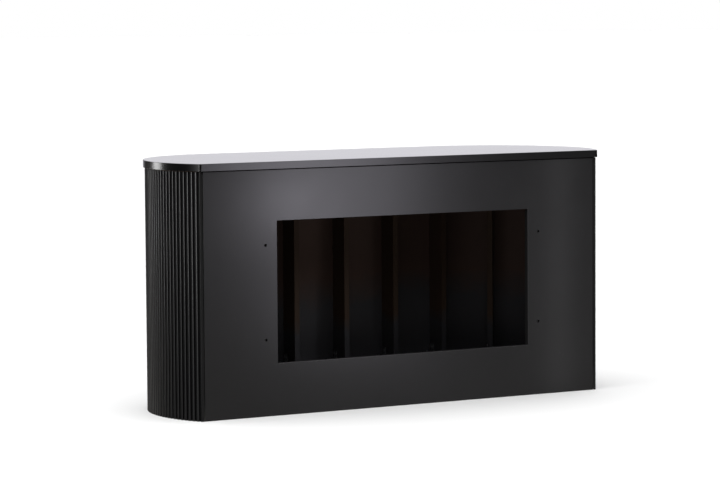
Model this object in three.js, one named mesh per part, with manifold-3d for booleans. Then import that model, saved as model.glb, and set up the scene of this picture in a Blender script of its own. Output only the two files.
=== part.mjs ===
// A free-standing fireplace surround: a flat panel with an opening for a fire insert, closed behind
// by a reeded shell with two round ends, under a glossy slab. Millimetres, +Z up. The flat panel
// faces -Y, and the origin is on the floor under the middle of the whole piece.
//
// The plan is worked out in "carcass" coordinates, where Y = 0 is the face of the flat panel and
// X = 0 is its middle. The group at the end moves everything back by half the depth.

import * as THREE from "three";
import { mergeVertices } from "three/addons/utils/BufferGeometryUtils.js";
import Module from "manifold-3d";

// ---- Driving dimensions -------------------------------------------------------------------------

const panelWidth = 1440; // flat side, over the cut ends of the reeded shell
const depth = 546; // face of the flat panel to the crests of the reeds at the back
const carcassHeight = 762; // floor to the underside of the slab
const endRadius = 356; // round ends, over the crests of the reeds

const slabThickness = 23;
const slabOverhang = 5.5; // beyond the body, all round
const edgeBand = 2; // strip glued on the slab's edges
const bandJoint = 4; // left open where the round strip and the flat strip meet
const shadowGap = 2; // panel and shell stop this far below the slab

const panelThickness = 18;
const openingWidth = 914;
const openingHeight = 440;
const openingSill = 163; // floor to the lower edge of the opening

const boltHoleDiameter = 8;
const boltHoleSide = 40; // from the opening's side to the hole's centre
const boltHoleSpacing = 292; // between the upper and the lower hole

const reedPitch = 16.1; // wanted pitch; the pitch used is the nearest that divides each stretch
const reedWidth = 12;
const reedHeight = 5;
const shellBacking = 2; // sheet left behind the grooves
const reedFacets = 4; // flats that make one rounded reed

const boardThickness = 18; // deck, sub-top, rails and ribs
const plinthHeight = 74; // floor to the underside of the deck
const crossRailSpacing = 300;
const railHeight = 60;
const postSize = 30;

const ribDepth = 78;
const ribPitch = 186.5; // along the straight back, counted from the right-hand joint
const ribEndAngle = 34.3; // degrees between the ribs of a round end
const ribClosest = 60; // a rib nearer to the left-hand joint than this is left out

const bracketLeg = 28;
const bracketWidth = 20;
const bracketSheet = 2;
const bracketSetback = 6; // from the rib's outer edge

const screwDiameter = 4;
const screwHeadDiameter = 8;
const screwHeadHeight = 2.4;
const screwBite = 12; // length that goes into the second piece
const screwSetback = 44; // from a rail's or a rib's face to a row of slab screws

const teeNutFlange = 18;
const teeNutSheet = 1.6;
const teeNutBarrel = 9;
const teeNutBore = 5;
const screwFacets = 12; // sides of a screw and of its hole
const boltFacets = 16; // sides of a bolt hole and of its tee nut

const arcFacets = 32; // sides of a board's round end

const touch = 0.3; // gap between pieces that bear on each other
const boardFit = 0.8; // gap between a board's curved edge and the shell
const panelEndGap = 2.5; // gap between the panel's ends and the shell
const screwClearance = 0.3; // round a screw, a tee nut's barrel and their holes

// ---- Sizes that follow --------------------------------------------------------------------------

const shellThickness = shellBacking + reedHeight;
const skinHeight = carcassHeight - shadowGap;
const centreY = depth - endRadius; // centre of the round ends
const centreX = panelWidth / 2 - Math.sqrt(endRadius ** 2 - centreY ** 2);
const insideRadius = endRadius - shellThickness;
const insideBack = depth - shellThickness;
const behindPanel = panelThickness + touch;
const deckTop = plinthHeight + boardThickness;
const subTopUnder = carcassHeight - boardThickness;
const ribFoot = deckTop + touch;
const ribHead = subTopUnder - touch;
const panelHalf = centreX + Math.sqrt(insideRadius ** 2 - centreY ** 2) - panelEndGap;
const railBack = behindPanel + boardThickness;
const openingMiddle = openingSill + openingHeight / 2;

// ---- Solids -------------------------------------------------------------------------------------

const wasm = await Module();
wasm.setup();

function solid(geometry) {
  const bare = geometry.clone();
  bare.deleteAttribute("normal");
  bare.deleteAttribute("uv");
  const merged = mergeVertices(bare, 1e-4);
  return new wasm.Manifold(
    new wasm.Mesh({
      numProp: 3,
      vertProperties: merged.attributes.position.array,
      triVerts: new Uint32Array(merged.index.array),
    }),
  );
}

function geometryOf(made) {
  const mesh = made.getMesh();
  const geometry = new THREE.BufferGeometry();
  geometry.setAttribute("position", new THREE.BufferAttribute(mesh.vertProperties, 3));
  geometry.setIndex(new THREE.BufferAttribute(mesh.triVerts, 1));
  const flat = geometry.toNonIndexed();
  flat.computeVertexNormals();
  return flat;
}

function block(x0, x1, y0, y1, z0, z1) {
  return new THREE.BoxGeometry(x1 - x0, y1 - y0, z1 - z0).translate(
    (x0 + x1) / 2,
    (y0 + y1) / 2,
    (z0 + z1) / 2,
  );
}

function upright(shape, z0, z1) {
  const settings = { depth: z1 - z0, bevelEnabled: false, curveSegments: arcFacets };
  return new THREE.ExtrudeGeometry(shape, settings).translate(0, 0, z0);
}

// The body's plan: flat in front, straight behind, a round end on each side. inset moves the curved
// edge inwards from the crests, and frontY is where the flat edge lies.
function planShape(inset, frontY) {
  const radius = endRadius - inset;
  const below = Math.asin((centreY - frontY) / radius);
  const shape = new THREE.Shape();
  shape.absarc(centreX, centreY, radius, -below, Math.PI / 2, false);
  shape.absarc(-centreX, centreY, radius, Math.PI / 2, Math.PI + below, false);
  shape.closePath();
  return shape;
}

// A turned piece on the Z axis, from a list of [radius, z] that starts and ends on the axis, or
// closes on itself.
function turned(profile, segments = screwFacets) {
  const points = profile.map(([radius, z]) => new THREE.Vector2(radius, z));
  return new THREE.LatheGeometry(points, segments).rotateX(Math.PI / 2);
}

// A rod on the Z axis from z0 to z1.
function rod(radius, z0, z1, segments) {
  const profile = [
    [0, z0],
    [radius, z0],
    [radius, z1],
    [0, z1],
  ];
  return turned(profile, segments);
}

// ---- Materials ----------------------------------------------------------------------------------

const satinBlack = { color: 0x232225, roughness: 0.5, metalness: 0 };
const glossBlack = { color: 0x111113, roughness: 0.12, metalness: 0 };
const rawBoard = { color: 0x5a4030, roughness: 0.85, metalness: 0 };
const zincSteel = { color: 0x9b9ea3, roughness: 0.4, metalness: 0.9 };

const surround = new THREE.Group();
surround.position.y = -depth / 2;

function add(name, geometry, finish, parent = surround) {
  const mesh = new THREE.Mesh(geometry, new THREE.MeshStandardMaterial(finish));
  mesh.name = name;
  parent.add(mesh);
  return mesh;
}

// ---- Reeded shell -------------------------------------------------------------------------------

// One reed as [distance from its crest line, drop below the crest], from groove to groove.
function reedSection(pitch) {
  const section = [[-pitch / 2, reedHeight]];
  for (let i = 0; i <= reedFacets; i += 1) {
    const turn = Math.PI * (1 - i / reedFacets);
    section.push([(reedWidth / 2) * Math.cos(turn), reedHeight * (1 - Math.sin(turn))]);
  }
  return section;
}

// A strip of reeds with its plain back, where at(along, drop) gives the point in plan.
function reededStrip(at, crests, pitch, end) {
  const front = crests.flatMap((crest) =>
    reedSection(pitch).map(([along, drop]) => at(crest + along, drop)),
  );
  const back = crests.map((crest) => at(crest - pitch / 2, shellThickness)).reverse();
  const last = [at(end, reedHeight), at(end, shellThickness)];
  return new THREE.Shape([...front, ...last, ...back]);
}

// The right-hand round end, from the flat panel's corner to the joint with the straight back. A
// crest stands on the corner, so the last reed is cut along its middle, flush with the panel.
function rightEnd() {
  const below = Math.asin(centreY / endRadius);
  const length = (below + Math.PI / 2) * endRadius;
  const count = Math.round(length / reedPitch - 0.5);
  const pitch = length / (count + 0.5);
  const crests = Array.from({ length: count + 2 }, (_, i) => (i - 1) * pitch);
  const at = (along, drop) => {
    const angle = along / endRadius - below;
    const radius = endRadius - drop;
    return new THREE.Vector2(
      centreX + radius * Math.cos(angle),
      centreY + radius * Math.sin(angle),
    );
  };
  const strip = solid(upright(reededStrip(at, crests, pitch, length - touch / 2), 0, skinHeight));
  const inFront = solid(block(0, 2 * panelWidth, -depth, 0, -1, carcassHeight));
  return geometryOf(strip.subtract(inFront));
}

// The left-hand end mirrors the right-hand one about the middle of the panel.
function mirrored(geometry) {
  const other = geometry.clone().scale(-1, 1, 1);
  const position = other.attributes.position;
  for (let i = 0; i < position.count; i += 3) {
    const a = new THREE.Vector3().fromBufferAttribute(position, i);
    const b = new THREE.Vector3().fromBufferAttribute(position, i + 1);
    position.setXYZ(i, b.x, b.y, b.z);
    position.setXYZ(i + 1, a.x, a.y, a.z);
  }
  other.computeVertexNormals();
  return other;
}

function straightBack() {
  const length = 2 * centreX - touch;
  const count = Math.round(length / reedPitch);
  const pitch = length / count;
  const crests = Array.from({ length: count }, (_, i) => (i + 0.5) * pitch);
  const at = (along, drop) => new THREE.Vector2(length / 2 - along, depth - drop);
  return upright(reededStrip(at, crests, pitch, length), 0, skinHeight);
}

const rightEndGeometry = rightEnd();
add("fluted_right_end", rightEndGeometry, satinBlack);
add("fluted_left_end", mirrored(rightEndGeometry), satinBlack);
add("fluted_back", straightBack(), satinBlack);

// ---- Screws and tee nuts, which the boards are drilled for --------------------------------------

// A screw on the Z axis: the underside of its head is at z = 0 and its tip at z = length.
function screw(length) {
  const shank = screwDiameter / 2;
  return turned([
    [0, -screwHeadHeight],
    [screwHeadDiameter / 4, -screwHeadHeight],
    [screwHeadDiameter / 2, -screwHeadHeight / 2],
    [screwHeadDiameter / 2, -touch],
    [shank, -touch],
    [shank, length - screwDiameter],
    [0, length],
  ]);
}

const screwLength = boardThickness + screwBite;
const screwHole = rod(screwDiameter / 2 + screwClearance, -1, screwLength + touch);

// Slab screws stand in two rows, in front of the ribs and behind the rails.
const slabScrewRows = [railBack + screwSetback, insideBack - ribDepth - screwSetback];
const slabScrews = slabScrewRows.flatMap((y) =>
  [-1, -1 / 3, 1 / 3, 1].map((share) => new THREE.Matrix4().setPosition(share * centreX, y, subTopUnder)),
);

// Rail screws point forwards, through the rails behind the panel and into the panel.
const towardsPanel = new THREE.Matrix4().makeRotationX(Math.PI / 2);
const topRailMiddle = ribHead - railHeight / 2;
const bottomRailMiddle = ribFoot + railHeight / 2;
const railScrews = [topRailMiddle, bottomRailMiddle].flatMap((z) =>
  [-1, 1].map((side) => towardsPanel.clone().setPosition((side * openingWidth) / 3, railBack, z)),
);

// Bolt holes flank the opening; a tee nut sits in the back of each.
const boltHoles = [-1, 1].flatMap((side) =>
  [-1, 1].map((level) =>
    towardsPanel
      .clone()
      .setPosition(
        side * (openingWidth / 2 + boltHoleSide),
        panelThickness,
        openingMiddle + (level * boltHoleSpacing) / 2,
      ),
  ),
);

// Cuts the same hole at every place in the list.
function drilled(body, hole, places) {
  return places.reduce((left, place) => left.subtract(solid(hole.clone().applyMatrix4(place))), body);
}

function teeNut() {
  const barrel = boltHoleDiameter / 2 - screwClearance;
  const ring = [
    [teeNutBore / 2, -touch - teeNutSheet],
    [teeNutFlange / 2, -touch - teeNutSheet],
    [teeNutFlange / 2, -touch],
    [barrel, -touch],
    [barrel, teeNutBarrel],
    [teeNutBore / 2, teeNutBarrel],
    [teeNutBore / 2, -touch - teeNutSheet],
  ];
  return turned(ring, boltFacets);
}

slabScrews.forEach((place, i) => {
  add("slab_screw_" + (i + 1), screw(screwLength).applyMatrix4(place), zincSteel);
});
railScrews.forEach((place, i) => {
  add("rail_screw_" + (i + 1), screw(screwLength).applyMatrix4(place), zincSteel);
});
boltHoles.forEach((place, i) => {
  add("tee_nut_" + (i + 1), teeNut().applyMatrix4(place), zincSteel);
});

// ---- Slab, sub-top and deck ---------------------------------------------------------------------

const slabUnder = carcassHeight + touch;
const slabTop = slabUnder + slabThickness;
const slabFront = -slabOverhang;

function slab() {
  const inset = edgeBand + touch - slabOverhang;
  const shape = planShape(inset, slabFront + edgeBand + touch);
  return geometryOf(drilled(solid(upright(shape, slabUnder, slabTop)), screwHole, slabScrews));
}

// The strip round the curved edge, with its ends flush with the slab's flat edge.
function roundBand() {
  const outer = solid(upright(planShape(-slabOverhang, slabFront), slabUnder, slabTop));
  const core = planShape(edgeBand - slabOverhang, slabFront - panelThickness);
  return geometryOf(outer.subtract(solid(upright(core, slabUnder - 1, slabTop + 1))));
}

// The strip along the flat edge, between the ends of the round strip.
function flatBand() {
  const radius = endRadius + slabOverhang - edgeBand - touch;
  const half = centreX + Math.sqrt(radius ** 2 - (centreY - slabFront) ** 2) - bandJoint;
  return block(-half, half, slabFront, slabFront + edgeBand, slabUnder, slabTop);
}

const boardShape = planShape(shellThickness + boardFit, behindPanel);

function subTop() {
  const plain = solid(upright(boardShape, subTopUnder, carcassHeight));
  return geometryOf(drilled(plain, screwHole, slabScrews));
}

add("top_slab", slab(), glossBlack);
add("slab_round_edge_band", roundBand(), glossBlack);
add("slab_flat_edge_band", flatBand(), satinBlack);
add("sub_top", subTop(), rawBoard);
add("deck_board", upright(boardShape, plinthHeight, deckTop), rawBoard);

// ---- Flat panel and what stands behind it -------------------------------------------------------

function frontPanel() {
  const board = solid(block(-panelHalf, panelHalf, 0, panelThickness, 0, skinHeight));
  const half = openingWidth / 2;
  const top = openingSill + openingHeight;
  const opening = solid(block(-half, half, -1, panelThickness + 1, openingSill, top));
  const boltHole = rod(boltHoleDiameter / 2, -1, panelThickness + 1, boltFacets);
  const withBolts = drilled(board.subtract(opening), boltHole, boltHoles);
  return geometryOf(drilled(withBolts, screwHole, railScrews));
}

add("front_panel", frontPanel(), satinBlack);

const postOuter = panelHalf - touch;
const postInner = postOuter - postSize;
const postBack = behindPanel + postSize;
const rightPost = block(postInner, postOuter, behindPanel, postBack, ribFoot, ribHead);
const leftPost = block(-postOuter, -postInner, behindPanel, postBack, ribFoot, ribHead);
add("corner_post_right", rightPost, rawBoard);
add("corner_post_left", leftPost, rawBoard);

function panelRail(z0) {
  const half = postInner - touch;
  const plain = solid(block(-half, half, behindPanel, railBack, z0, z0 + railHeight));
  return geometryOf(drilled(plain, screwHole, railScrews));
}

add("top_rail", panelRail(ribHead - railHeight), rawBoard);
add("bottom_rail", panelRail(ribFoot), rawBoard);

// ---- Plinth frame under the deck ----------------------------------------------------------------

const plinthTop = plinthHeight - touch;
const plinthBack = insideBack - touch;
const plinthBackInner = plinthBack - boardThickness;
const plinthFrontRail = block(-postOuter, postOuter, behindPanel, railBack, 0, plinthTop);
const plinthBackRail = block(-centreX, centreX, plinthBackInner, plinthBack, 0, plinthTop);
add("plinth_front_rail", plinthFrontRail, rawBoard);
add("plinth_back_rail", plinthBackRail, rawBoard);
[-1, 0, 1].forEach((place, i) => {
  const x = place * crossRailSpacing;
  const half = boardThickness / 2;
  const rail = block(x - half, x + half, railBack + touch, plinthBackInner - touch, 0, plinthTop);
  add("plinth_cross_rail_" + (i + 1), rail, rawBoard);
});

// ---- Ribs and their foot brackets ---------------------------------------------------------------

// A rib stands on the Y axis of its own group, with its outer edge at Y = 0 and its depth towards -Y.
// The bracket is on its left side, at the outer end of its foot.
function ribWithBracket(name, place) {
  const half = boardThickness / 2;
  const station = new THREE.Group();
  station.applyMatrix4(place);
  add("rib_" + name, block(-half, half, -ribDepth, 0, ribFoot, ribHead), rawBoard, station);
  const ell = new THREE.Shape();
  ell.moveTo(0, 0);
  ell.lineTo(-bracketLeg, 0);
  ell.lineTo(-bracketLeg, bracketSheet);
  ell.lineTo(-bracketSheet, bracketSheet);
  ell.lineTo(-bracketSheet, bracketLeg);
  ell.lineTo(0, bracketLeg);
  ell.closePath();
  const bent = new THREE.ExtrudeGeometry(ell, { depth: bracketWidth, bevelEnabled: false })
    .rotateX(Math.PI / 2)
    .translate(-half - touch, -bracketSetback, ribFoot);
  add("rib_bracket_" + name, bent, zincSteel, station);
  surround.add(station);
}

const stations = [];
for (let x = centreX - ribPitch; x > ribClosest - centreX; x -= ribPitch) {
  stations.push(x);
}
stations.forEach((x, i) => {
  ribWithBracket("back_" + (i + 1), new THREE.Matrix4().setPosition(x, insideBack - touch, 0));
});

// On a round end the rib's outer corners, not its middle, come nearest to the shell. A rib behind a
// joint of the shell bears on both sections.
const roundEdge = Math.sqrt((insideRadius - 2 * touch) ** 2 - (boardThickness / 2) ** 2);
const lastAngle = THREE.MathUtils.radToDeg(Math.PI / 2 + Math.asin(centreY / insideRadius));
const postAngle = THREE.MathUtils.radToDeg((postSize + railHeight) / insideRadius);
for (const [side, sign] of [
  ["right", 1],
  ["left", -1],
]) {
  const joint = new THREE.Matrix4().setPosition(sign * centreX, centreY + roundEdge, 0);
  ribWithBracket("joint_" + side, joint);
  for (let i = 1; i * ribEndAngle < lastAngle - postAngle; i += 1) {
    const place = new THREE.Matrix4()
      .makeTranslation(sign * centreX, centreY, 0)
      .multiply(new THREE.Matrix4().makeRotationZ(-sign * THREE.MathUtils.degToRad(i * ribEndAngle)))
      .multiply(new THREE.Matrix4().makeTranslation(0, roundEdge, 0));
    ribWithBracket(side + "_" + i, place);
  }
}

export default surround;
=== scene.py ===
"""Fireplace surround: the visual model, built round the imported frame, and its studio stage.

Lengths are in metres, in the frame's own axes: +X along the flat panel, +Y from the panel towards
the reeded back, +Z up, and the floor at Z = 0.
"""

import math

import bpy
from mathutils import Matrix, Vector


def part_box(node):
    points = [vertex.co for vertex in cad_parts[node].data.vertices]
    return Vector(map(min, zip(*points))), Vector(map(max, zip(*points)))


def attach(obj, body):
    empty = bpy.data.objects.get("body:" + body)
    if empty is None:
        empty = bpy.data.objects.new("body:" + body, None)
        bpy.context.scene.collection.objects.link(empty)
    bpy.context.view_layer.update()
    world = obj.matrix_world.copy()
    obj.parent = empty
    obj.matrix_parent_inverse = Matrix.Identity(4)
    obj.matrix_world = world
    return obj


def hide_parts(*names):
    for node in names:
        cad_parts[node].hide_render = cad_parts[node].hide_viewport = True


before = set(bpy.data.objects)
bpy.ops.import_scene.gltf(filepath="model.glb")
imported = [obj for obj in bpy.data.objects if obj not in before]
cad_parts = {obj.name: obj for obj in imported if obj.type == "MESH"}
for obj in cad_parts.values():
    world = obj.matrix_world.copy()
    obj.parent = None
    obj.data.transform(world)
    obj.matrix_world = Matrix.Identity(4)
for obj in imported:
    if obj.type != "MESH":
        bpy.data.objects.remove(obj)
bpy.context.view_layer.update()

bl_info = {
    "name": "Fireplace Surround",
    "version": (1, 0, 0),
    "blender": (4, 5, 0),
    "location": "View3D > Sidebar > Surround",
    "description": "Builds a reeded fireplace surround with its slab, panel and studio stage",
    "category": "Object",
}

BODY = "root"
MM = 0.001
PANEL_LOW, PANEL_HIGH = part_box("front_panel")
BACK_LOW, BACK_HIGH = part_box("fluted_back")
FRONT_Y = PANEL_LOW.y
BACK_Y = BACK_HIGH.y
SKIN_TOP = BACK_HIGH.z
NEAR = 0.1 * MM  # how far off a plane a point may be and still count as on it
FACING = 0.9  # least part of a face's normal along an axis for it to face that way

# Material slots after the first, of the reeded shell and of the panel. The shell's cut face and lower
# groove, and the panel's bolt holes, carry painted shade.
INNER_FACE, SHADED_CUT_FACE, GROOVE_SHADE = 1, 2, 3
SHADED_BORE = 1

# Heights between which the raw board turns bluish grey towards the bottom, along a ragged line. Bare boards
# don't turn grey.
RIB_LOW_TINT = (0.235, 0.190)
SHELL_LOW_TINT = (0.365, 0.270)
NO_LOW_TINT = (-0.2, -0.4)


# ---- Settings -------------------------------------------------------------------------------------


def length(name, description, default):
    """A length that a user may change, in metres."""
    return bpy.props.FloatProperty(
        name=name, description=description, default=default, min=0.0, unit="LENGTH", precision=4
    )


def colour(name, description, default):
    """A linear colour that a user may change."""
    return bpy.props.FloatVectorProperty(
        name=name, description=description, default=default, size=3, min=0.0, max=1.0, subtype="COLOR"
    )


def share(name, description, default):
    """A value from 0 to 1 that a user may change."""
    return bpy.props.FloatProperty(
        name=name, description=description, default=default, min=0.0, max=1.0, subtype="FACTOR"
    )


class SURROUND_PG_shell(bpy.types.PropertyGroup):
    """Sizes of the reeded shell."""

    end_radius: length("End radius", "Radius of the round ends, over the reeds' crests", 0.356)
    pitch: length("Reed pitch", "Wanted distance from reed to reed", 0.0161)
    reed_width: length("Reed width", "Width of one reed at its root", 0.012)
    reed_height: length("Reed height", "Height of a reed above the groove", 0.005)
    backing: length("Backing", "Sheet left behind the grooves", 0.002)
    section_gap: length("Section gap", "Gap where two sections of the shell meet", 0.0003)
    facets: bpy.props.IntProperty(
        name="Facets", description="Flats in the rounding on each side of a reed", default=6, min=2
    )


class SURROUND_PG_panel(bpy.types.PropertyGroup):
    """Sizes of the flat panel."""

    opening_width: length("Opening width", "Clear width of the opening", 0.914)
    opening_height: length("Opening height", "Clear height of the opening", 0.440)
    sill: length("Sill", "Floor to the lower edge of the opening", 0.163)
    hole: length("Bolt hole", "Diameter of a bolt hole", 0.008)
    hole_side: length("Hole to opening", "Opening's side to a hole's centre", 0.040)
    hole_spacing: length("Hole spacing", "Lower hole to upper hole", 0.292)
    edge: length("Edge round", "Radius of the lacquered edges", 0.0009)


class SURROUND_PG_slab(bpy.types.PropertyGroup):
    """Sizes of the slab."""

    edge: length("Edge round", "Radius of the slab's polished edges", 0.0014)
    band: length("Band", "Thickness of the strip on the edges", 0.002)
    glue_line: length("Glue line", "Gap between the strip and the slab", 0.0003)
    facets: bpy.props.IntProperty(
        name="Facets",
        description="Sides of the full circle the round ends come from",
        default=256,
        min=32,
    )


class SURROUND_PG_finish(bpy.types.PropertyGroup):
    """Colours of the finishes."""

    satin: colour("Satin black", "Lacquer of the panel", (0.0123, 0.0122, 0.0127))
    # The reeds' satin takes this deeper black as well, as painted shade.
    gloss: colour("Deep black", "Lacquer of the slab, its strips and the reeds", (0.0042, 0.0042, 0.0046))
    board: colour("Raw board", "Unfinished fibreboard of the ribs and boards", (0.080, 0.048, 0.031))
    skin: colour("Raw skin", "Unfinished inner face of the reeded shell", (0.113, 0.070, 0.057))
    # Bluish grey that the raw board turns towards the bottom.
    overspray: colour("Overspray", "Primer mist on the raw board", (0.054, 0.054, 0.062))
    zinc: colour("Zinc", "Plated steel fittings", (0.56, 0.57, 0.58))
    satin_roughness: share("Satin roughness", "Roughness of the satin lacquer", 0.29)
    gloss_roughness: share("Gloss roughness", "Roughness of the gloss lacquer", 0.07)


class SURROUND_PG_stage(bpy.types.PropertyGroup):
    """The camera and the floor."""

    camera_place: bpy.props.FloatVectorProperty(
        name="Camera place",
        description="Where the camera stands",
        default=(-4.7537, -8.3677, 1.2640),
        size=3,
        subtype="TRANSLATION",
    )
    turn: bpy.props.FloatProperty(
        name="Turn",
        description="Turn of the camera from +Y towards +X",
        default=math.radians(29.552),
        subtype="ANGLE",
    )
    tilt: bpy.props.FloatProperty(
        name="Tilt",
        description="Tilt of the camera below the horizon",
        default=math.radians(4.507),
        subtype="ANGLE",
    )
    roll: bpy.props.FloatProperty(
        name="Roll", description="Roll of the camera", default=math.radians(0.371), subtype="ANGLE"
    )
    lens: bpy.props.FloatProperty(
        name="Lens", description="Focal length in millimetres", default=149.65, min=1.0
    )
    floor: colour("Floor", "Colour of the studio floor", (0.80, 0.80, 0.80))


# ---- Working in edit mode -------------------------------------------------------------------------


def begin():
    """Leaves nothing selected and object mode on."""
    if bpy.context.object and bpy.context.object.mode != "OBJECT":
        bpy.ops.object.mode_set(mode="OBJECT")
    bpy.ops.object.select_all(action="DESELECT")


def pick(piece):
    """Leaves only this piece selected, and makes it the active one."""
    begin()
    piece.select_set(True)
    bpy.context.view_layer.objects.active = piece


def settle(piece):
    """Puts the piece's place, turn and scale into its mesh."""
    pick(piece)
    bpy.ops.object.transform_apply(location=True, rotation=True, scale=True)
    return piece


def cuboid(name, low, high):
    """A box between two corners."""
    begin()
    low, high = Vector(low), Vector(high)
    bpy.ops.mesh.primitive_cube_add(size=1, location=(low + high) / 2, scale=high - low)
    piece = bpy.context.object
    piece.name = name
    return settle(piece)


def pick_faces(piece, wanted):
    """In edit mode, with only the faces selected that wanted(face) accepts."""
    bpy.ops.object.mode_set(mode="EDIT")
    bpy.ops.mesh.select_mode(type="FACE")
    bpy.ops.mesh.select_all(action="DESELECT")
    bpy.ops.object.mode_set(mode="OBJECT")
    for face in piece.data.polygons:
        face.select = bool(wanted(face))
    bpy.ops.object.mode_set(mode="EDIT")


def pick_edges(piece, wanted):
    """In edit mode, with only the edges selected whose two ends wanted(a, b) accepts."""
    bpy.ops.object.mode_set(mode="EDIT")
    bpy.ops.mesh.select_mode(type="EDGE")
    bpy.ops.mesh.select_all(action="DESELECT")
    bpy.ops.object.mode_set(mode="OBJECT")
    points = piece.data.vertices
    for edge in piece.data.edges:
        a, b = (points[i].co for i in edge.vertices)
        edge.select = bool(wanted(a, b))
    bpy.ops.object.mode_set(mode="EDIT")


def bisect(piece, place, normal, drop=None, fill=False):
    """Cuts the piece on a plane. drop is "front" or "back", the side to throw away."""
    pick(piece)
    bpy.ops.object.mode_set(mode="EDIT")
    bpy.ops.mesh.select_all(action="SELECT")
    bpy.ops.mesh.bisect(
        plane_co=place,
        plane_no=normal,
        use_fill=fill,
        clear_outer=drop == "front",
        clear_inner=drop == "back",
        threshold=1e-6,
    )
    bpy.ops.object.mode_set(mode="OBJECT")


def close_up(piece):
    """Welds doubled points and turns the faces outwards."""
    pick(piece)
    bpy.ops.object.mode_set(mode="EDIT")
    bpy.ops.mesh.select_mode(type="VERT")
    bpy.ops.mesh.select_all(action="SELECT")
    bpy.ops.mesh.remove_doubles(threshold=2e-6)
    bpy.ops.mesh.normals_make_consistent(inside=False)
    bpy.ops.object.mode_set(mode="OBJECT")


def modify(piece, kind, **values):
    """Adds a modifier and applies it."""
    pick(piece)
    modifier = piece.modifiers.new(kind.title(), kind)
    for key, value in values.items():
        setattr(modifier, key, value)
    bpy.ops.object.modifier_apply(modifier=modifier.name)


def smooth(piece, degrees):
    """Smooth shading, with creases sharper than the angle kept."""
    pick(piece)
    bpy.ops.object.shade_smooth_by_angle(angle=math.radians(degrees))


def round_edges(piece, radius):
    """Small rounds on every sharp edge, shaded so that the flat faces stay flat."""
    modify(
        piece,
        "BEVEL",
        width=radius,
        segments=3,
        limit_method="ANGLE",
        angle_limit=math.radians(40),
        use_clamp_overlap=True,
    )
    smooth(piece, degrees=50)
    modify(piece, "WEIGHTED_NORMAL", weight=100, keep_sharp=True)


def cut_away(piece, cutter):
    """Takes the cutter's shape out of the piece, and the cutter out of the scene."""
    modify(piece, "BOOLEAN", object=cutter, operation="DIFFERENCE", solver="EXACT")
    bpy.data.objects.remove(cutter)


def finish_piece(piece, materials, slot, *replaced):
    """Gives the piece its materials and its place in the frame."""
    for material in materials:
        piece.data.materials.append(material)
    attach(piece, BODY)
    if replaced:
        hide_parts(*replaced)


# ---- Materials ------------------------------------------------------------------------------------


class Tree:
    """An empty node tree, with a short way to add nodes to it."""

    def __init__(self, owner):
        owner.use_nodes = True
        self.tree = owner.node_tree
        self.tree.nodes.clear()

    def add(self, kind):
        """Adds a shader node."""
        return self.tree.nodes.new("ShaderNode" + kind)

    def link(self, source, target):
        self.tree.links.new(source, target)

    def feed(self, socket, value):
        """Gives a socket a number, or the result of another node."""
        if isinstance(value, (int, float)):
            socket.default_value = value
        else:
            self.link(value, socket)

    def maths(self, operation, *values):
        node = self.add("Math")
        node.operation = operation
        for socket, value in zip(node.inputs, values):
            self.feed(socket, value)
        return node.outputs[0]


class Finish(Tree):
    """One material, whose patterns lie on Object coordinates."""

    def __init__(self, name):
        self.material = bpy.data.materials.new(name)
        super().__init__(self.material)
        self.shader = self.add("BsdfPrincipled")
        self.link(self.shader.outputs["BSDF"], self.add("OutputMaterial").inputs["Surface"])
        self.place = self.add("TexCoord").outputs["Object"]

    def stretched(self, scale):
        """Object coordinates, scaled by a vector."""
        node = self.add("Mapping")
        node.inputs["Scale"].default_value = scale
        self.link(self.place, node.inputs["Vector"])
        return node.outputs["Vector"]

    def noise(self, scale, detail=2.0, roughness=0.5, vector=None):
        node = self.add("TexNoise")
        node.inputs["Scale"].default_value = scale
        node.inputs["Detail"].default_value = detail
        node.inputs["Roughness"].default_value = roughness
        self.link(vector or self.place, node.inputs["Vector"])
        return node.outputs["Fac"]

    def remap(self, value, low, high, new_low=0.0, new_high=1.0):
        node = self.add("MapRange")
        node.inputs["From Min"].default_value = low
        node.inputs["From Max"].default_value = high
        node.inputs["To Min"].default_value = new_low
        node.inputs["To Max"].default_value = new_high
        self.link(value, node.inputs["Value"])
        return node.outputs["Result"]

    def mix(self, share_of_b, a, b):
        """Blends colour a into colour b."""
        node = self.add("Mix")
        node.data_type = "RGBA"
        self.link(share_of_b, node.inputs["Factor"])
        for socket, value in ((node.inputs["A"], a), (node.inputs["B"], b)):
            if isinstance(value, (tuple, list)):
                socket.default_value = (*value, 1.0)
            else:
                self.link(value, socket)
        return node.outputs["Result"]

    def height(self):
        """The Z coordinate."""
        node = self.add("SeparateXYZ")
        self.link(self.place, node.inputs["Vector"])
        return node.outputs["Z"]

    def bump(self, height, distance, strength, below=None):
        node = self.add("Bump")
        node.inputs["Distance"].default_value = distance
        node.inputs["Strength"].default_value = strength
        self.link(height, node.inputs["Height"])
        if below is not None:
            self.link(below, node.inputs["Normal"])
        return node.outputs["Normal"]

    def colour(self, value):
        self.link(value, self.shader.inputs["Base Color"])

    def roughness(self, value):
        self.link(value, self.shader.inputs["Roughness"])

    def normal(self, value):
        self.link(value, self.shader.inputs["Normal"])

    def set(self, socket, value):
        self.shader.inputs[socket].default_value = value


DUST = (0.09, 0.09, 0.09)


def shade(base, factor):
    """The colour made lighter or darker."""
    return tuple(c * factor for c in base)


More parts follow.
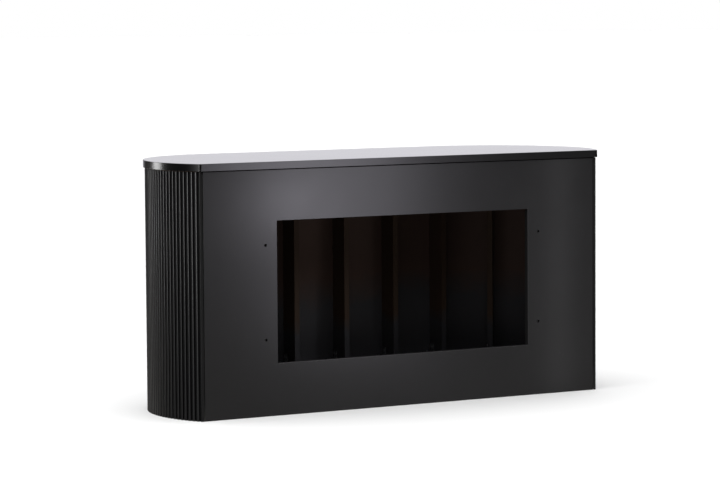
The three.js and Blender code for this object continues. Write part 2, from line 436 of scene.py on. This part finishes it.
def satin_lacquer(name, base, roughness, shine=0.5):
    """Black satin lacquer on fibreboard: faint mottling, handling marks and a sprayed texture."""
    made = Finish(name)
    mottle = made.remap(made.noise(scale=9.0, detail=5.0, roughness=0.6), 0.3, 0.7)
    marks = made.remap(made.noise(scale=75.0, detail=3.0, roughness=0.7), 0.62, 0.80)
    body = made.mix(mottle, shade(base, 0.90), shade(base, 1.08))
    made.colour(made.mix(made.maths("MULTIPLY", marks, 0.5), body, shade(base, 2.2)))
    cloud = made.noise(scale=14.0, detail=4.0, roughness=0.6)
    spread = made.remap(cloud, 0.3, 0.7, roughness * 0.97, roughness * 1.03)
    made.roughness(made.maths("ADD", spread, made.maths("MULTIPLY", marks, 0.04)))
    spray = made.bump(made.noise(scale=420.0), distance=0.04 * MM, strength=0.35)
    grit = made.noise(scale=1500.0, detail=1.0)
    made.normal(made.bump(grit, distance=0.01 * MM, strength=0.3, below=spray))
    made.set("Specular IOR Level", shine)
    return made.material


def gloss_lacquer(name, base, roughness):
    """Polished black lacquer: a slow ripple, fine hairlines and a trace of dust."""
    made = Finish(name)
    dust = made.remap(made.noise(scale=900.0, detail=1.0), 0.70, 0.80)
    haze = made.remap(made.noise(scale=5.0, detail=3.0, roughness=0.6), 0.3, 0.7)
    body = made.mix(haze, shade(base, 0.85), shade(base, 1.15))
    made.colour(made.mix(made.maths("MULTIPLY", dust, 0.25), body, DUST))
    hairlines = made.noise(scale=1.0, detail=3.0, roughness=0.6, vector=made.stretched((14.0, 420.0, 14.0)))
    spread = made.remap(haze, 0.0, 1.0, roughness * 0.85, roughness * 1.15)
    made.roughness(made.maths("ADD", spread, made.remap(hairlines, 0.62, 0.78, 0.0, 0.04)))
    ripple = made.noise(scale=60.0, detail=1.0)
    made.normal(made.bump(ripple, distance=0.04 * MM, strength=0.35))
    return made.material


def raw_fibreboard(name, base, low_colour, low_top, low_bottom):
    """Unfinished fibreboard: matted fibres, turning bluish grey towards the bottom along a ragged line
    between two heights.
    """
    made = Finish(name)
    fibres = made.noise(scale=650.0, detail=3.0, roughness=0.7, vector=made.stretched((1.0, 1.0, 0.45)))
    cloud = made.noise(scale=5.5, detail=4.0, roughness=0.6)
    body = made.mix(made.remap(cloud, 0.3, 0.7), shade(base, 0.82), shade(base, 1.12))
    flecked = made.mix(made.remap(fibres, 0.35, 0.75), shade(base, 0.72), body)
    ragged = made.maths("MULTIPLY", made.maths("SUBTRACT", cloud, 0.5), 0.16)
    level = made.maths("ADD", made.height(), ragged)
    low_share = made.remap(level, low_top, low_bottom)
    made.colour(made.mix(low_share, flecked, low_colour))
    made.roughness(made.remap(fibres, 0.3, 0.7, 0.72, 0.92))
    made.normal(made.bump(fibres, distance=0.12 * MM, strength=0.6))
    return made.material


def zinc_plate(name, base):
    """Bright zinc plating with a faint spangle."""
    made = Finish(name)
    spangle = made.noise(scale=260.0, roughness=0.6)
    made.colour(made.mix(made.remap(spangle, 0.35, 0.65), shade(base, 0.85), shade(base, 1.1)))
    made.set("Metallic", 1.0)
    made.roughness(made.remap(spangle, 0.3, 0.7, 0.30, 0.44))
    made.normal(made.bump(made.noise(scale=1200.0), distance=0.03 * MM, strength=0.5))
    return made.material


def finishes():
    """The materials by name, made on the first call."""
    if "panel satin" in bpy.data.materials:
        return bpy.data.materials
    settings = bpy.context.scene.surround_finish
    satin, gloss, board, skin, low_colour, zinc = (
        tuple(getattr(settings, key)) for key in ("satin", "gloss", "board", "skin", "overspray", "zinc")
    )
    satin_lacquer("panel satin", satin, settings.satin_roughness)
    # Painted shade: the reeds have the panel's satin lacquer, given the slab's deeper black to darken them.
    satin_lacquer("reed satin", gloss, settings.satin_roughness)
    satin_lacquer("strip satin", gloss, settings.satin_roughness * 1.1)
    # Painted shade: a darker, duller copy of the reed lacquer for the lower part of the grooves.
    satin_lacquer("groove satin", shade(gloss, 0.5), roughness=0.6, shine=0.1)
    gloss_lacquer("slab gloss", gloss, settings.gloss_roughness)
    gloss_lacquer("strip gloss", gloss, settings.gloss_roughness * 2.8)
    raw_fibreboard("fibreboard", board, low_colour, *RIB_LOW_TINT)
    raw_fibreboard("bare board", board, low_colour, *NO_LOW_TINT)
    raw_fibreboard("shell inside", skin, low_colour, *SHELL_LOW_TINT)
    # Partly real, partly painted shadow: the shell's cut ends are black, and are made matte near-black board
    # to stand in for the shadow of their joint with the panel. In the bolt holes and on their rounded rims
    # this board is painted shade.
    raw_fibreboard("cut edge", gloss, gloss, SKIN_TOP, 0.0)
    zinc_plate("zinc plate", zinc)
    return bpy.data.materials


# ---- The reeded shell -----------------------------------------------------------------------------


REED_ROUND = 0.97  # radius of a reed's rounding, as a share of its height
GROOVE_SHADE_FROM = 0.45  # depth at which the groove's painted shade starts, as a share of the reed's height


def reed(name, pitch, tall):
    """One reed on its backing, open on both sides, with its crest on the plane Y = 0.

    The inner face and the lower part of the groove get material slots of their own; the groove's lower part
    is painted darker, as shade.
    """
    shell = bpy.context.scene.surround_shell
    half, height = shell.reed_width / 2, shell.reed_height
    inner = -(height + shell.backing)
    piece = cuboid(name, (-pitch / 2, inner, 0), (pitch / 2, -height, tall))
    bisect(piece, (-half, 0, 0), (1, 0, 0))
    bisect(piece, (half, 0, 0), (1, 0, 0))
    pick_faces(piece, lambda face: face.normal.y > FACING and abs(face.center.x) < half)
    bpy.ops.mesh.extrude_region_move(TRANSFORM_OT_translate={"value": (0, height, 0)})
    bpy.ops.object.mode_set(mode="OBJECT")
    pick_edges(piece, lambda a, b: max(abs(a.y), abs(b.y)) < NEAR and abs(a.z - b.z) > tall / 2)
    bpy.ops.mesh.bevel(
        offset=REED_ROUND * height, segments=shell.facets, affect="EDGES", clamp_overlap=False
    )
    bpy.ops.object.mode_set(mode="OBJECT")
    pick_faces(piece, lambda face: abs(abs(face.center.x) - pitch / 2) < NEAR)
    bpy.ops.mesh.delete(type="FACE")
    bpy.ops.object.mode_set(mode="OBJECT")
    # Painted shade: the lower part of each groove gets the darker groove material.
    for face in piece.data.polygons:
        if face.normal.y < -FACING:
            face.material_index = INNER_FACE
        elif face.center.y < -GROOVE_SHADE_FROM * height:
            face.material_index = GROOVE_SHADE
    return piece


def reed_strip(name, count, pitch, tall):
    """A flat strip of reeds from X = 0, closed at both ends."""
    piece = reed(name, pitch, tall)
    piece.location.x = pitch / 2
    settle(piece)
    modify(
        piece,
        "ARRAY",
        count=count,
        use_relative_offset=False,
        use_constant_offset=True,
        constant_offset_displace=(pitch, 0, 0),
        use_merge_vertices=True,
        merge_threshold=1e-5,
    )
    bpy.ops.object.mode_set(mode="EDIT")
    bpy.ops.mesh.select_all(action="SELECT")
    bpy.ops.mesh.fill_holes(sides=0)
    bpy.ops.object.mode_set(mode="OBJECT")
    return piece


def round_end(name, side):
    """A strip of reeds bent round one end and cut flush with the flat panel's face."""
    shell = bpy.context.scene.surround_shell
    radius = shell.end_radius
    centre_x = BACK_HIGH.x + shell.section_gap / 2
    centre_y = BACK_Y - radius
    below = math.asin((centre_y - FRONT_Y) / radius)
    span = (math.pi / 2 + below) * radius
    count = round(span / shell.pitch - 0.5)
    pitch = span / (count + 0.5)
    piece = reed_strip(name, count + 2, pitch, SKIN_TOP)
    bisect(piece, (shell.section_gap / 2, 0, 0), (1, 0, 0), drop="back", fill=True)
    along = [point.co.x for point in piece.data.vertices]
    bend = (max(along) - min(along)) / radius
    modify(piece, "SIMPLE_DEFORM", deform_method="BEND", deform_axis="Z", angle=-bend)
    piece.location = (centre_x, BACK_Y, 0)
    settle(piece)
    bisect(piece, (0, FRONT_Y, 0), (0, -1, 0), drop="front", fill=True)
    if side < 0:
        piece.scale.x = -1
        settle(piece)
    close_up(piece)
    # Painted shadow: the cut face gets the near-black board, for its joint with the panel.
    for face in piece.data.polygons:
        if face.center.y < FRONT_Y + NEAR and abs(face.normal.y) > FACING:
            face.material_index = SHADED_CUT_FACE
    return piece


class SURROUND_OT_reeded_shell(bpy.types.Operator):
    """Builds the reeded shell: the straight back and the two round ends"""

    bl_idname = "surround.reeded_shell"
    bl_label = "Reeded Shell"

    def execute(self, context):
        materials = finishes()
        skin = [materials[key] for key in ("reed satin", "shell inside", "cut edge", "groove satin")]
        shell = context.scene.surround_shell
        wide = 2 * BACK_HIGH.x
        count = round(wide / shell.pitch)
        back = reed_strip("reeded_back", count, wide / count, SKIN_TOP)
        back.location = (-wide / 2, BACK_Y, 0)
        settle(back)
        close_up(back)
        right = round_end("reeded_right_end", 1)
        left = round_end("reeded_left_end", -1)
        for piece, node in ((back, "fluted_back"), (right, "fluted_right_end"), (left, "fluted_left_end")):
            smooth(piece, degrees=30)
            finish_piece(piece, skin, "satin_black_lacquer", node)
        return {"FINISHED"}


# ---- The flat panel -------------------------------------------------------------------------------


DRILL_LENGTH = 200 * MM  # well past the panel on both sides


def bore(piece, place, diameter):
    """Cuts a round hole through the piece, along Y."""
    begin()
    bpy.ops.mesh.primitive_cylinder_add(
        vertices=32,
        radius=diameter / 2,
        depth=DRILL_LENGTH,
        location=place,
        rotation=(math.pi / 2, 0, 0),
    )
    cut_away(piece, settle(bpy.context.object))


class SURROUND_OT_flat_panel(bpy.types.Operator):
    """Builds the flat panel with the insert's opening and its four bolt holes"""

    bl_idname = "surround.flat_panel"
    bl_label = "Flat Panel"

    def execute(self, context):
        settings = context.scene.surround_panel
        half = settings.opening_width / 2
        sill, head = settings.sill, settings.sill + settings.opening_height
        panel = cuboid("lacquered_panel", PANEL_LOW, PANEL_HIGH)
        for place, normal in (
            ((-half, 0, 0), (1, 0, 0)),
            ((half, 0, 0), (1, 0, 0)),
            ((0, 0, sill), (0, 0, 1)),
            ((0, 0, head), (0, 0, 1)),
        ):
            bisect(panel, place, normal)
        pick_faces(
            panel,
            lambda face: abs(face.normal.y) > FACING
            and abs(face.center.x) < half
            and sill < face.center.z < head,
        )
        bpy.ops.mesh.bridge_edge_loops()
        bpy.ops.object.mode_set(mode="OBJECT")
        middle = (sill + head) / 2
        hole_x, hole_rise = half + settings.hole_side, settings.hole_spacing / 2
        for side in (-1, 1):
            for level in (-1, 1):
                bore(panel, (side * hole_x, FRONT_Y, middle + level * hole_rise), settings.hole)
        close_up(panel)
        round_edges(panel, settings.edge)
        # Painted shade: the holes' walls and their rounded rims get the near-black cut edge.
        for face in panel.data.polygons:
            off = abs(face.center.x) - hole_x, abs(face.center.z - middle) - hole_rise
            if math.hypot(*off) < settings.hole / 2 + settings.edge:
                face.material_index = SHADED_BORE
        skin = [finishes()["panel satin"], finishes()["cut edge"]]
        finish_piece(panel, skin, "satin_black_lacquer", "front_panel")
        return {"FINISHED"}


# ---- The slab and its edge bands ------------------------------------------------------------------


def half_oval(name, inset, low, high, closed=True):
    """The slab's outline at an inset, upright between two heights, before its flat edge is cut."""
    shell = bpy.context.scene.surround_shell
    facets = bpy.context.scene.surround_slab.facets
    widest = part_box("slab_round_edge_band")[1].x
    radius = widest - BACK_HIGH.x - shell.section_gap / 2 - inset
    begin()
    bpy.ops.mesh.primitive_cylinder_add(
        vertices=facets,
        radius=radius,
        depth=high - low,
        location=(0, BACK_Y - shell.end_radius, (low + high) / 2),
        rotation=(0, 0, math.pi / facets),
        end_fill_type="NGON" if closed else "NOTHING",
    )
    piece = settle(bpy.context.object)
    piece.name = name
    for point in piece.data.vertices:
        point.co.x += math.copysign(BACK_HIGH.x, point.co.x)
    return piece


class SURROUND_OT_slab(bpy.types.Operator):
    """Builds the polished slab and the strips on its edges"""

    bl_idname = "surround.slab"
    bl_label = "Slab"

    def execute(self, context):
        settings = context.scene.surround_slab
        materials = finishes()
        low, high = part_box("slab_round_edge_band")
        core_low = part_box("top_slab")[0]
        core = half_oval("slab_board", settings.band + settings.glue_line, low.z, high.z)
        bisect(core, (0, core_low.y, 0), (0, -1, 0), drop="front", fill=True)
        ring = half_oval("slab_round_strip", 0, low.z, high.z, closed=False)
        # Left a little long, so that its ends are square when it is cut again with its thickness.
        bisect(ring, (0, low.y - 4 * settings.band, 0), (0, -1, 0), drop="front")
        close_up(ring)
        modify(ring, "SOLIDIFY", thickness=settings.band, offset=-1, use_even_offset=True)
        bisect(ring, (0, low.y, 0), (0, -1, 0), drop="front", fill=True)
        strip = cuboid("slab_flat_strip", *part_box("slab_flat_edge_band"))
        edge = settings.edge
        for piece, radius, finish, slot, node in (
            (core, edge / 4, "slab gloss", "gloss_black_lacquer", "top_slab"),
            (ring, edge, "strip gloss", "gloss_black_lacquer", "slab_round_edge_band"),
            (strip, edge / 2, "strip satin", "satin_black_lacquer", "slab_flat_edge_band"),
        ):
            close_up(piece)
            round_edges(piece, radius)
            finish_piece(piece, [materials[finish]], slot, node)
        return {"FINISHED"}


# ---- Boards and fittings inside -------------------------------------------------------------------


def is_fitting(name):
    """True for the screws, tee nuts and brackets."""
    return any(word in name for word in ("screw", "tee_nut", "bracket"))


class SURROUND_OT_carcass(bpy.types.Operator):
    """Finishes the boards, ribs and rails inside with raw fibreboard, and the fittings with zinc"""

    bl_idname = "surround.carcass"
    bl_label = "Carcass"

    def execute(self, context):
        materials = finishes()
        for name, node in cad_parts.items():
            node.data.materials.clear()
            board = "fibreboard" if name.startswith("rib_") else "bare board"
            node.data.materials.append(materials["zinc plate" if is_fitting(name) else board])
        return {"FINISHED"}


RIB_HALF = 9 * MM  # half of a rib's thickness
SHEET = 2 * MM  # thickness of a bracket's legs
LEG_GAP = 0.3 * MM  # gap between a bracket's upright leg and its rib
SCREW_REACH = 18 * MM  # from the rib's face, or from the deck, to a bracket's screws
SCREW_OFFSET = 5 * MM  # from a bracket's middle to its screws, across either leg
SCREW_RADIUS = 3.2 * MM
SCREW_RISE = 1.6 * MM
RECESS_WIDTH = 0.22  # width of the recess's arms, as a share of the head's radius


def screw_head(name, radius, rise):
    """A pan head with a cross recess, standing on the plane Z = 0."""
    begin()
    bpy.ops.mesh.primitive_cylinder_add(vertices=24, radius=radius, depth=rise, location=(0, 0, rise / 2))
    head = settle(bpy.context.object)
    head.name = name
    pick_faces(head, lambda face: face.normal.z > FACING)
    for inwards, upwards in ((0.3, 0.12), (0.25, 0.03)):
        bpy.ops.mesh.inset(thickness=radius * inwards, depth=radius * upwards)
    bpy.ops.object.mode_set(mode="OBJECT")
    for turn in (0, math.pi / 2):
        begin()
        bpy.ops.mesh.primitive_cube_add(
            size=1,
            location=(0, 0, rise),
            rotation=(0, 0, turn),
            scale=(radius, radius * RECESS_WIDTH, rise),
        )
        cut_away(head, settle(bpy.context.object))
    close_up(head)
    smooth(head, degrees=40)
    return head


def screw_places(name, centre):
    """The places of one bracket's four screws. centre is the middle of the right round end."""
    rib_low, rib_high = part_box(name.replace("bracket_", ""))
    low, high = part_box(name)
    rib, foot = (rib_low + rib_high) / 2, (low + high) / 2
    turn, half = 0.0, (rib_high.x - rib_low.x) / 2
    if "left_" in name or "right_" in name:
        out = rib - Vector((math.copysign(centre.x, foot.x), centre.y, 0))
        turn, half = math.atan2(-out.x, out.y), RIB_HALF
    along = Matrix.Rotation(turn, 4, "Z")
    face_x = (along.inverted() @ rib).x - half
    middle_y = (along.inverted() @ foot).y
    places = []
    for y in (middle_y - SCREW_OFFSET, middle_y + SCREW_OFFSET):
        upright = Matrix.Translation((face_x - SHEET - LEG_GAP, y, low.z + SCREW_REACH))
        upright = upright @ Matrix.Rotation(-math.pi / 2, 4, "Y")
        flat = Matrix.Translation((face_x - SCREW_REACH, y, low.z + SHEET))
        places += [along @ upright, along @ flat]
    return places


class SURROUND_OT_bracket_screws(bpy.types.Operator):
    """Drives two screws through each leg of the brackets at the ribs' feet"""

    bl_idname = "surround.bracket_screws"
    bl_label = "Bracket Screws"

    def execute(self, context):
        shell = context.scene.surround_shell
        centre = Vector((BACK_HIGH.x + shell.section_gap / 2, BACK_Y - shell.end_radius, 0))
        pattern = screw_head("screw_pattern", SCREW_RADIUS, SCREW_RISE)
        for name in sorted(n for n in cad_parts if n.startswith("rib_bracket_")):
            begin()
            for place in screw_places(name, centre):
                head = pattern.copy()
                head.data = pattern.data.copy()
                head.data.transform(place)
                context.scene.collection.objects.link(head)
                head.select_set(True)
                context.view_layer.objects.active = head
            bpy.ops.object.join()
            piece = context.object
            piece.name = name.replace("rib_bracket", "bracket_screws")
            finish_piece(piece, [finishes()["zinc plate"]], "zinc_plated_steel")
        bpy.data.objects.remove(pattern)
        return {"FINISHED"}


# ---- Stage ----------------------------------------------------------------------------------------


WHITE = (1.0, 1.0, 1.0)
KEY_TINT = (1.0, 0.965, 1.08)
WARM_TINT = (1.0, 0.96, 0.92)
LIGHT_GROUPS = {
    # piece: its group. Every other piece is in the group "inside", and "all" stands for every group.
    "lacquered_panel": "panel",
    "slab_board": "slab",
    "slab_round_strip": "band",
    "slab_flat_strip": "edge",
    "reeded_left_end": "side",
}
SOFTBOXES = {
    # name: place, aim, width and height, radiance, tint, and the groups that it lights
    "key_core": ((0.168, -1.4, 0.578), (0.168, 0.0, 0.578), (0.12, 0.12), 19.5, KEY_TINT, "panel band"),
    "key_softbox": ((0.422, -1.4, 0.942), (0.422, 0.0, 0.942), (0.5, 1.7), 2.5, KEY_TINT, "panel band"),
    "key_edge": ((0.24, -1.4, 0.66), (0.24, 0.0, 0.66), (0.66, 0.6), 5.0, KEY_TINT, "edge"),
    "side_strip": ((0.82, -0.65, 0.45), (0.82, 0.0, 0.45), (0.05, 1.0), 1.1, (1.0, 0.99, 1.02), "panel"),
    "left_softbox": ((-2.63, -0.71, 0.95), (-0.7, -0.05, 0.5), (0.5, 1.4), 10.0, WHITE, "all"),
    "back_left_softbox": ((-2.04, 1.96, 1.0), (-0.7, 0.2, 0.6), (0.65, 1.0), 7.0, WHITE, "slab band inside"),
    "back_softbox": ((-0.6, 2.8, 1.0), (-0.3, 0.28, 0.4), (1.4, 1.5), 12.0, WHITE, "inside"),
    "back_right_softbox": ((2.4, 1.5, 1.1), (0.5, 0.2, 0.4), (0.8, 1.4), 16.0, WHITE, "inside"),
    "inner_low": ((1.3, -1.9, 0.10), (-0.2, 0.2, 0.4), (0.6, 0.2), 4.8, WARM_TINT, "inside"),
    "inner_high": ((1.55, -1.4, 1.2), (-0.2, 0.2, 0.3), (0.6, 0.4), 9.0, WHITE, "inside"),
    "inner_front": ((-0.9, -1.9, 0.10), (0.1, 0.2, 0.5), (1.4, 0.4), 1.4, WARM_TINT, "inside"),
}
STUDIO_WALLS = {
    # name: azimuths from -Y towards +X, elevations, radiance, tint. Angles are in degrees.
    "ceiling": ((-180, 180), (45, 100), 2.5, WHITE),
    "upper walls": ((-180, 180), (20, 45), 0.44, WHITE),
    "backdrop": ((100, 170), (-8, 20), 0.87, (1.0, 0.99, 1.05)),
    "left wall": ((-92, -55), (-30, 12), 0.8, WHITE),
    "right wall": ((50, 100), (-20, 20), 0.13, WHITE),
    "floor in front": ((8, 75), (-40, -5), 0.42, (1.03, 1.0, 0.95)),
    "floor behind": ((176, 212), (-35, -7), 0.9, (1.05, 1.0, 0.93)),
}
AZIMUTH_BLUR, ELEVATION_BLUR = 10, 5  # half of a patch's soft edge, in degrees


def softbox(name, place, aim, size, radiance, tint):
    """A soft rectangular light, facing a point."""
    begin()
    bpy.ops.object.light_add(type="AREA", location=place)
    lamp = bpy.context.object
    lamp.name = name
    lamp.data.shape = "RECTANGLE"
    lamp.data.size, lamp.data.size_y = size
    lamp.data.energy = math.pi * size[0] * size[1] * radiance
    lamp.data.color = tint
    lamp.rotation_euler = (Vector(aim) - Vector(place)).to_track_quat("-Z", "Y").to_euler()
    lamp.visible_camera = False
    return lamp


class StudioWorld(Tree):
    """The studio round the object, as patches of light on a far sphere."""

    def __init__(self, world):
        super().__init__(world)
        separate = self.add("SeparateXYZ")
        self.link(self.add("TexCoord").outputs["Generated"], separate.inputs[0])
        across, back, up = separate.outputs
        self.azimuth = self.maths("ARCTAN2", across, self.maths("MULTIPLY", back, -1.0))
        self.elevation = self.maths("ARCSINE", up)
        self.total = None

    def vector_maths(self, operation):
        node = self.add("VectorMath")
        node.operation = operation
        return node

    def step(self, value, middle, blur):
        """Rises from 0 to 1 round an angle, or falls if the blur is negative."""
        node = self.add("MapRange")
        node.interpolation_type = "SMOOTHSTEP"
        node.inputs["From Min"].default_value = math.radians(middle - blur)
        node.inputs["From Max"].default_value = math.radians(middle + blur)
        self.link(value, node.inputs["Value"])
        return node.outputs["Result"]

    def patch(self, azimuths, elevations, radiance, tint):
        """Adds one patch with soft edges."""
        middle, half = sum(azimuths) / 2, (azimuths[1] - azimuths[0]) / 2
        turned = self.maths("SUBTRACT", self.azimuth, math.radians(middle))
        off = self.maths("ABSOLUTE", self.maths("WRAP", turned, math.pi, -math.pi))
        level = self.step(off, half, -AZIMUTH_BLUR)
        for angle, blur in zip(elevations, (ELEVATION_BLUR, -ELEVATION_BLUR)):
            level = self.maths("MULTIPLY", level, self.step(self.elevation, angle, blur))
        scaled = self.vector_maths("SCALE")
        scaled.inputs[0].default_value = shade(tint, radiance)
        self.link(level, scaled.inputs["Scale"])
        if self.total is None:
            self.total = scaled.outputs[0]
            return
        added = self.vector_maths("ADD")
        self.link(self.total, added.inputs[0])
        self.link(scaled.outputs[0], added.inputs[1])
        self.total = added.outputs[0]

    def finish(self):
        """Shows the patches to the object, and plain white to the camera."""
        lit, shown = self.add("Background"), self.add("Background")
        self.link(self.total, lit.inputs["Color"])
        shown.inputs["Color"].default_value = (1, 1, 1, 1)
        chosen = self.add("MixShader")
        self.link(self.add("LightPath").outputs["Is Camera Ray"], chosen.inputs["Fac"])
        self.link(lit.outputs[0], chosen.inputs[1])
        self.link(shown.outputs[0], chosen.inputs[2])
        self.link(chosen.outputs[0], self.add("OutputWorld").inputs["Surface"])


class SURROUND_OT_stage(bpy.types.Operator):
    """Sets up the floor, the studio lights and the camera"""

    bl_idname = "surround.stage"
    bl_label = "Stage"

    def execute(self, context):
        settings = context.scene.surround_stage
        self.floor(tuple(settings.floor))
        self.lights(context)
        self.camera(context, settings)
        return {"FINISHED"}

    def floor(self, tint):
        """A wide floor that the camera sees, and that neither lights nor reflects in the object."""
        begin()
        bpy.ops.mesh.primitive_plane_add(size=200, location=(0, 0, 0))
        plane = bpy.context.object
        plane.name = "studio_floor"
        made = Finish("studio floor")
        made.colour(made.mix(made.noise(scale=2.0), shade(tint, 0.99), shade(tint, 1.01)))
        made.set("Roughness", 0.9)
        made.set("Specular IOR Level", 0.1)
        plane.data.materials.append(made.material)
        plane.visible_glossy = False
        plane.visible_diffuse = False
        plane.visible_shadow = False

    def lights(self, context):
        """The studio world, and the softboxes with the pieces that each one lights."""
        context.scene.world = bpy.data.worlds.new("studio")
        studio = StudioWorld(context.scene.world)
        for patch in STUDIO_WALLS.values():
            studio.patch(*patch)
        studio.finish()
        meshes = [piece for piece in context.scene.objects if piece.type == "MESH"]
        pieces = [piece for piece in meshes if not piece.name.startswith("studio_")]
        for name, (*values, groups) in SOFTBOXES.items():
            lamp = softbox(name, *values)
            if groups == "all":
                continue
            lit = bpy.data.collections.new(name)
            for piece in pieces:
                if LIGHT_GROUPS.get(piece.name, "inside") in groups.split():
                    lit.objects.link(piece)
            lamp.light_linking.receiver_collection = lit

    def camera(self, context, settings):
        """The camera, level but for its small tilt and roll."""
        begin()
        bpy.ops.object.camera_add(location=settings.camera_place)
        camera = context.object
        camera.name = "studio_camera"
        camera.rotation_mode = "XYZ"
        camera.matrix_world = (
            Matrix.Translation(settings.camera_place)
            @ Matrix.Rotation(-settings.turn, 4, "Z")
            @ Matrix.Rotation(math.pi / 2 - settings.tilt, 4, "X")
            @ Matrix.Rotation(-settings.roll, 4, "Z")
        )
        camera.data.lens = settings.lens
        camera.data.sensor_width = 36
        camera.data.clip_end = 400
        context.scene.camera = camera
        context.scene.view_settings.view_transform = "Standard"


# ---- Panel, registration and the run --------------------------------------------------------------


class SURROUND_PT_build(bpy.types.Panel):
    """Lists the steps that build the surround"""

    bl_label = "Fireplace Surround"
    bl_space_type = "VIEW_3D"
    bl_region_type = "UI"
    bl_category = "Surround"

    def draw(self, context):
        for step in STEPS:
            self.layout.operator(step.bl_idname)
        for group in SETTINGS:
            box = self.layout.box()
            box.label(text=group.capitalize())
            values = getattr(context.scene, "surround_" + group)
            for key in values.__annotations__:
                box.prop(values, key)


STEPS = (
    SURROUND_OT_carcass,
    SURROUND_OT_reeded_shell,
    SURROUND_OT_flat_panel,
    SURROUND_OT_slab,
    SURROUND_OT_bracket_screws,
    SURROUND_OT_stage,
)
SETTINGS = {
    "shell": SURROUND_PG_shell,
    "panel": SURROUND_PG_panel,
    "slab": SURROUND_PG_slab,
    "finish": SURROUND_PG_finish,
    "stage": SURROUND_PG_stage,
}


def register():
    for kind in (*SETTINGS.values(), *STEPS, SURROUND_PT_build):
        bpy.utils.register_class(kind)
    for group, kind in SETTINGS.items():
        setattr(bpy.types.Scene, "surround_" + group, bpy.props.PointerProperty(type=kind))


def unregister():
    for group in SETTINGS:
        delattr(bpy.types.Scene, "surround_" + group)
    for kind in reversed((*SETTINGS.values(), *STEPS, SURROUND_PT_build)):
        bpy.utils.unregister_class(kind)


def main():
    register()
    bpy.ops.surround.carcass()
    bpy.ops.surround.reeded_shell()
    bpy.ops.surround.flat_panel()
    bpy.ops.surround.slab()
    bpy.ops.surround.bracket_screws()
    bpy.ops.surround.stage()


if __name__ == "__main__":
    main()
